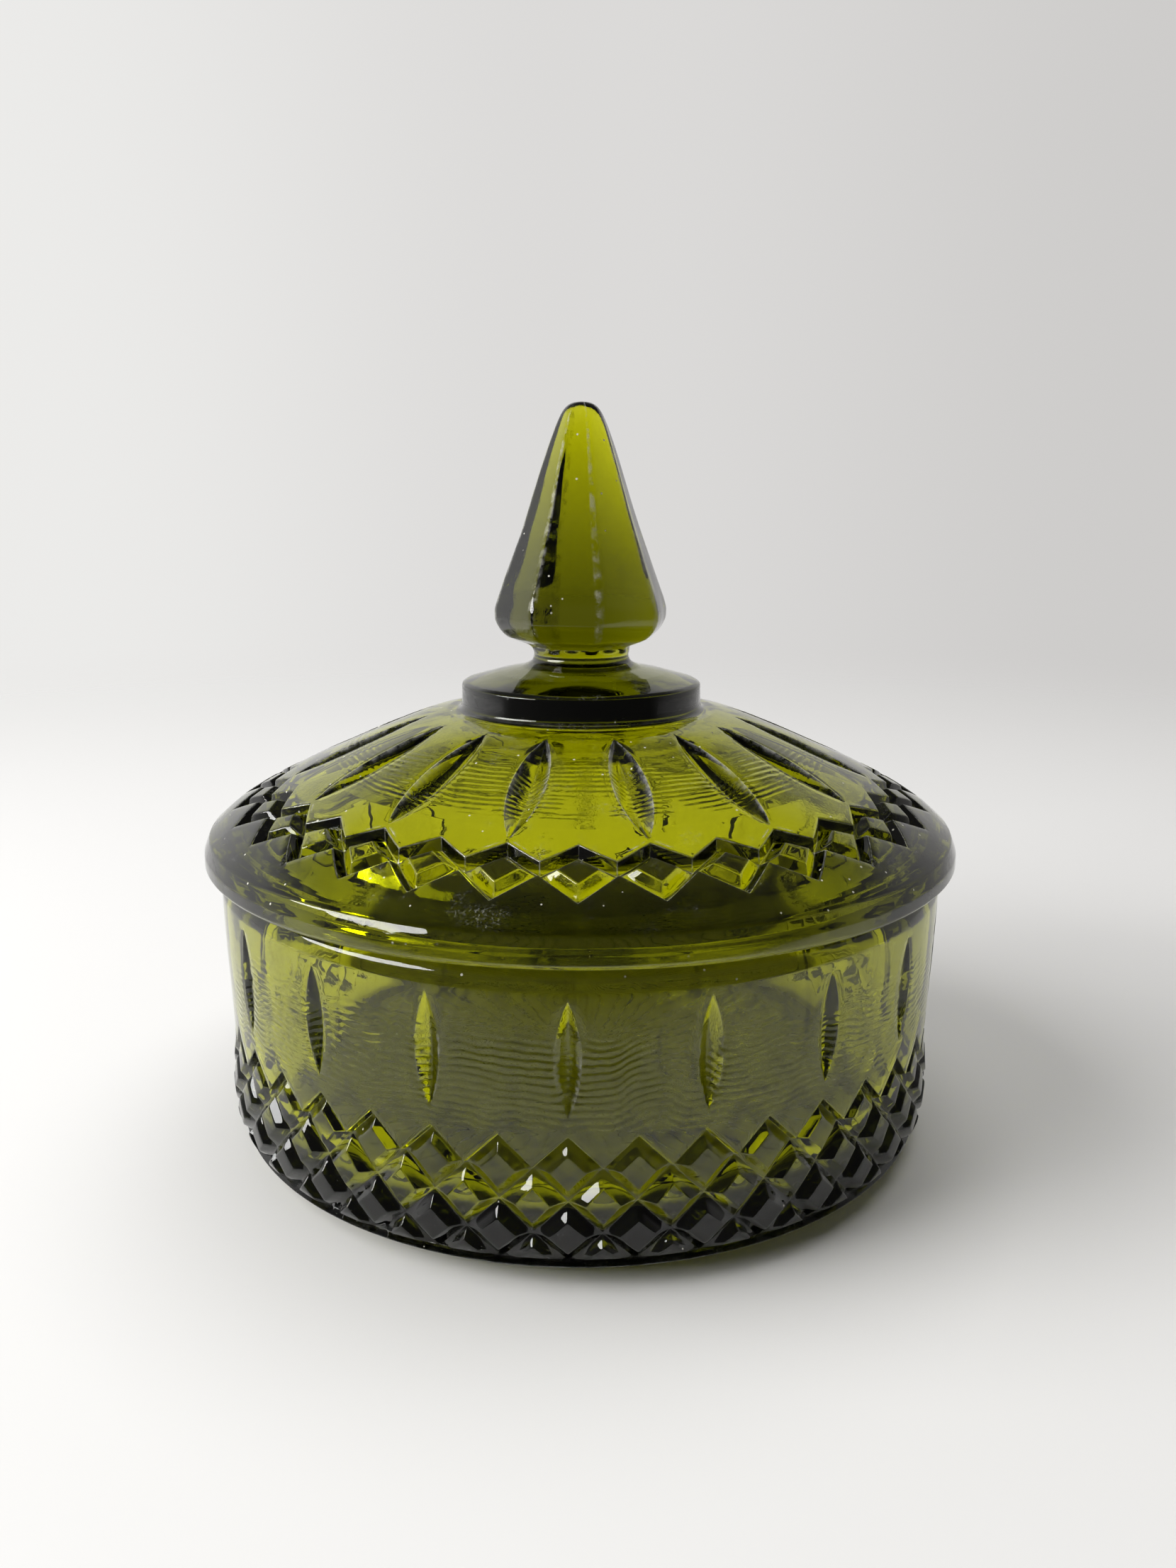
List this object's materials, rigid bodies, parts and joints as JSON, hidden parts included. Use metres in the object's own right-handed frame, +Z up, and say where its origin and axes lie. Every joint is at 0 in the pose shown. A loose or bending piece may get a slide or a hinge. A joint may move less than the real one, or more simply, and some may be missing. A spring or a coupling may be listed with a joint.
{
  "type": "covered glass jar",
  "caption": "Low pressed-glass jar with a stepped diamond band and upright cuts, and a lift-off domed lid with a collar and a faceted spire knob.",
  "frame": {"origin": "on the jar's axis in the plane of the foot ring, the surface it rests on", "axes": "+Z up along the jar's axis, -Y towards the front"},
  "size_m": [0.14, 0.14, 0.1336],
  "materials": {
    "bowl_glass": "fire-polished pressed glass, olive green",
    "lid_glass": "fire-polished pressed glass, olive green, worn edges and dust"
  },
  "bodies": {
    "bowl": {"jar_bowl": "bowl_glass"},
    "lid": {"jar_lid": "lid_glass"}
  },
  "joints": [
    {"name": "lid_lift", "type": "slide", "parent": "bowl", "child": "lid", "axis": [0, 0, 1], "range_m": [0, 0.06]}
  ]
}
